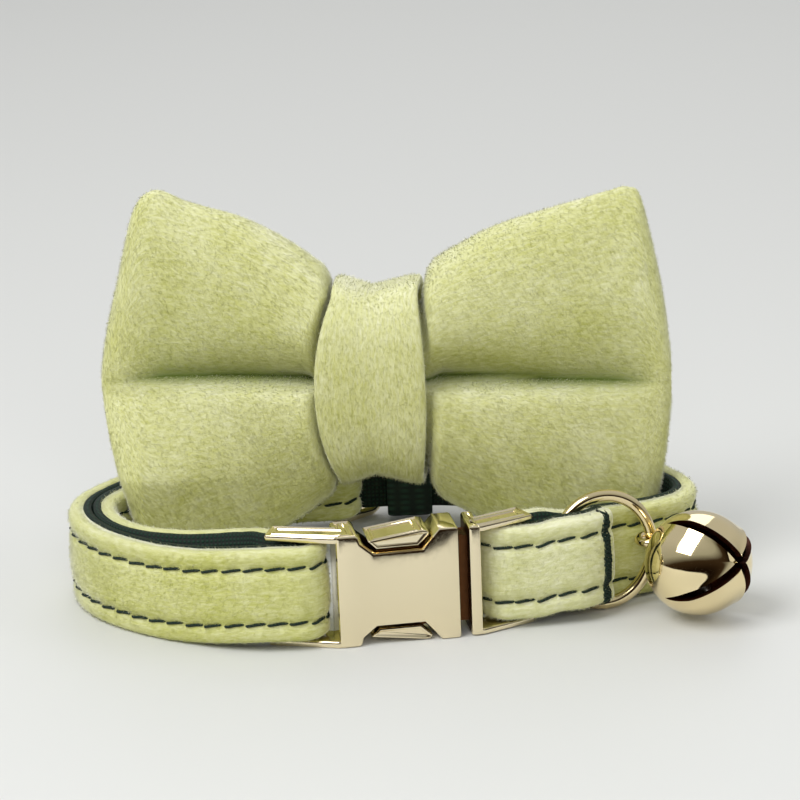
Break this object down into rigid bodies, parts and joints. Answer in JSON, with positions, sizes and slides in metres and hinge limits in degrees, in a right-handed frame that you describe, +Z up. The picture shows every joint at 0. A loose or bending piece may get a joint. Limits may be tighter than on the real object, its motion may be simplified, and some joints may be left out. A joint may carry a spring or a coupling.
{
  "type": "pet bow tie collar",
  "caption": "Small pet collar lying closed, with a side-release buckle, a ring and bell, a slider and a padded velvet bow on an elastic loop.",
  "frame": {"origin": "under the middle of the whole collar's box, at table height", "axes": "+Z up, -Y towards the buckle at the front, +X towards the bell"},
  "size_m": [0.0842, 0.0515, 0.0502],
  "materials": {
    "strap_velvet": "short-pile velvet",
    "strap_lining": "woven webbing",
    "tab_velvet": "short-pile velvet",
    "tab_lining": "woven webbing",
    "buckle_housing": "polished light gold plate",
    "buckle_latch": "polished light gold plate",
    "ring": "polished light gold plate",
    "bell": "polished light gold plate",
    "bell_pellet": "plain metal ball",
    "slider": "polished light gold plate",
    "bow_body": "short-pile velvet, padded",
    "bow_knot": "short-pile velvet",
    "bow_elastic": "flat elastic"
  },
  "bodies": {
    "root": {"strap_velvet": "strap_velvet", "strap_lining": "strap_lining", "tab_velvet": "tab_velvet", "tab_lining": "tab_lining", "buckle_housing": "buckle_housing", "buckle_latch": "buckle_latch", "ring": "ring", "bell": "bell", "bell_pellet": "bell_pellet", "slider": "slider", "bow_body": "bow_body", "bow_knot": "bow_knot", "bow_elastic": "bow_elastic"}
  },
  "joints": []
}
